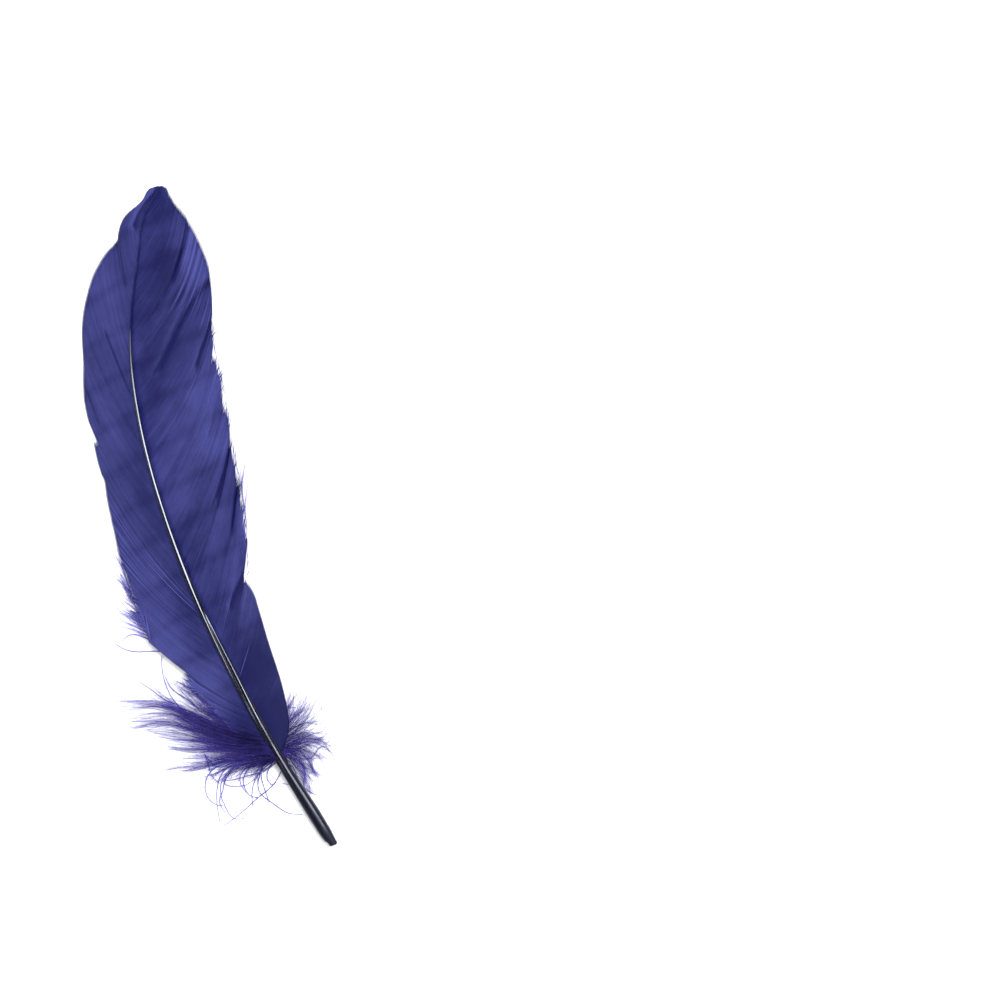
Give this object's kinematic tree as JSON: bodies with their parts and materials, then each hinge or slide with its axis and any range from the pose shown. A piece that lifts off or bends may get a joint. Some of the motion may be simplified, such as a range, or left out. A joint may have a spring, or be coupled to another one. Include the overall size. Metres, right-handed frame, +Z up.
{
  "type": "goose quill feather",
  "caption": "Dyed goose wing feather lying dome side up: a curved tapering quill, a narrow leading vane, a broad trailing vane with splits, and down at its foot.",
  "frame": {"origin": "centre of the feather's bounding box, on the surface that it rests on", "axes": "+Y from the cut end of the quill to the tip, +X from the narrow leading vane to the broad trailing vane, +Z up from the surface"},
  "size_m": [0.054, 0.1804, 0.007],
  "materials": {
    "quill": "glossy dyed keratin, blue-black",
    "vane": "silky barbs, dyed navy violet",
    "down": "soft down, dyed blue violet"
  },
  "bodies": {
    "root": {"shaft": "quill", "leading_vane": "vane", "trailing_vane": "vane", "leading_down": "down", "trailing_down": "down"}
  },
  "joints": []
}
